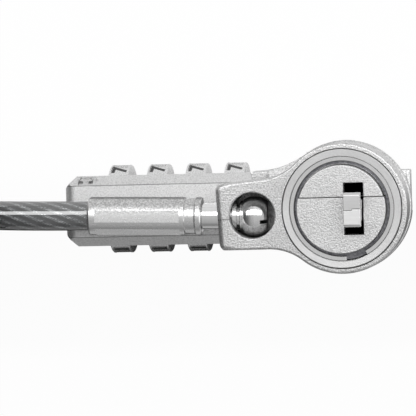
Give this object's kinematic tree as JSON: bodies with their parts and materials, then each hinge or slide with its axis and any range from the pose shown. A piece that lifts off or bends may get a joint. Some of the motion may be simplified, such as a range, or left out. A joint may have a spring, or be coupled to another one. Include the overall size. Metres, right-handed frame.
{
  "type": "laptop cable lock",
  "caption": "Combination cable lock for a laptop's security slot: number-wheel bar, round swivel head with a spreading scissor nose, and a coiled vinyl-jacketed steel cable with an end loop.",
  "frame": {"origin": "on the axis of the round head, in the plane of the lock's back, which it rests on", "axes": "+Z along the head's axis and out of the nose, -X along the combination bar to its far end, +Y across the bar to the reset screw's side"},
  "size_m": [0.1643, 0.0809, 0.0353],
  "materials": {
    "satin_zinc": "bead-blasted die-cast zinc alloy, satin nickel plated",
    "polished_metal": "polished nickel-plated steel",
    "wheel_metal": "polished zinc alloy with dark filled digits",
    "ferrule_metal": "crimped aluminium, satin with press marks",
    "jaw_steel": "hardened sintered steel, fine satin",
    "spring_steel": "oiled spring steel",
    "hub_brass": "turned brass",
    "cable_jacket": "steel strands under smoke-clear vinyl",
    "strap": "black woven strap"
  },
  "bodies": {
    "lock_body": {"housing": "satin_zinc", "front_cover": "satin_zinc", "cover_screws": "polished_metal", "back_plate": "satin_zinc", "back_screws": "polished_metal", "upper_nose_plate": "satin_zinc", "lower_nose_plate": "satin_zinc", "nose_screws": "polished_metal", "jaw_pivot_pin": "polished_metal", "jaw_spring": "spring_steel", "lever_spring": "spring_steel", "wave_washer": "spring_steel", "spindle_spring": "spring_steel", "spindle_bush": "hub_brass", "end_plug": "polished_metal", "click_spring": "spring_steel"},
    "cable_collar": {"swivel_collar": "satin_zinc", "snap_ring": "polished_metal", "cable": "cable_jacket", "cable_coil": "cable_jacket", "end_loop": "cable_jacket", "loop_sleeve": "ferrule_metal", "coil_tie": "strap"},
    "cable_end": {"ferrule": "ferrule_metal", "swivel_pin": "polished_metal"},
    "lever": {"thumb_lever": "satin_zinc", "cam_shaft": "jaw_steel"},
    "upper_jaw": {"upper_jaw": "jaw_steel"},
    "lower_jaw": {"lower_jaw": "jaw_steel"},
    "spindle": {"spindle": "jaw_steel"},
    "reset_screw": {"reset_screw": "polished_metal"},
    "wheel_1": {"number_wheel_1": "wheel_metal", "wheel_hub_1": "hub_brass"},
    "wheel_2": {"number_wheel_2": "wheel_metal", "wheel_hub_2": "hub_brass"},
    "wheel_3": {"number_wheel_3": "wheel_metal", "wheel_hub_3": "hub_brass"},
    "wheel_4": {"number_wheel_4": "wheel_metal", "wheel_hub_4": "hub_brass"}
  },
  "joints": [
    {"name": "collar_swivel", "type": "hinge", "parent": "lock_body", "child": "cable_collar", "pos_m": [0, 0, 0.024], "axis": [0, 0, 1], "continuous": true},
    {"name": "ferrule_spin", "type": "hinge", "parent": "cable_collar", "child": "cable_end", "pos_m": [-0.02245, -0.00119, 0.0237], "axis": [0.9997, -0.0227, 0], "continuous": true},
    {"name": "lever_turn", "type": "hinge", "parent": "lock_body", "child": "lever", "pos_m": [0.0023, 0, 0.0138], "axis": [0, 0, 1], "range_deg": [0, 35], "stiffness_Nm_per_rad": 0.03, "springref_deg": -17.19, "deforming": ["lever_spring"]},
    {"name": "upper_jaw_spread", "type": "hinge", "parent": "lock_body", "child": "upper_jaw", "pos_m": [0.0023, 0, 0.0244], "axis": [-1, 0, 0], "range_deg": [0, 7], "deforming": ["jaw_spring"]},
    {"name": "lower_jaw_spread", "type": "hinge", "parent": "lock_body", "child": "lower_jaw", "pos_m": [0.0023, 0, 0.0244], "axis": [1, 0, 0], "range_deg": [0, 7]},
    {"name": "spindle_slide", "type": "slide", "parent": "lock_body", "child": "spindle", "axis": [1, 0, 0], "range_m": [-0.0014, 0], "deforming": ["spindle_spring"]},
    {"name": "reset_turn", "type": "hinge", "parent": "lock_body", "child": "reset_screw", "pos_m": [-0.04925, 0.00575, 0.0182], "axis": [0, 0.6644, 0.7474], "range_deg": [0, 90]},
    {"name": "wheel_1_turn", "type": "hinge", "parent": "lock_body", "child": "wheel_1", "pos_m": [-0.0213, 0, 0.0096], "axis": [1, 0, 0], "continuous": true},
    {"name": "wheel_2_turn", "type": "hinge", "parent": "lock_body", "child": "wheel_2", "pos_m": [-0.0287, 0, 0.0096], "axis": [1, 0, 0], "continuous": true},
    {"name": "wheel_3_turn", "type": "hinge", "parent": "lock_body", "child": "wheel_3", "pos_m": [-0.0361, 0, 0.0096], "axis": [1, 0, 0], "continuous": true},
    {"name": "wheel_4_turn", "type": "hinge", "parent": "lock_body", "child": "wheel_4", "pos_m": [-0.0435, 0, 0.0096], "axis": [1, 0, 0], "continuous": true}
  ],
  "couplings": [
    {"joint": "lever_turn", "follows": "spindle_slide", "rad_per_m": -436.33},
    {"joint": "upper_jaw_spread", "follows": "spindle_slide", "rad_per_m": -87.266},
    {"joint": "lower_jaw_spread", "follows": "spindle_slide", "rad_per_m": -87.266}
  ]
}
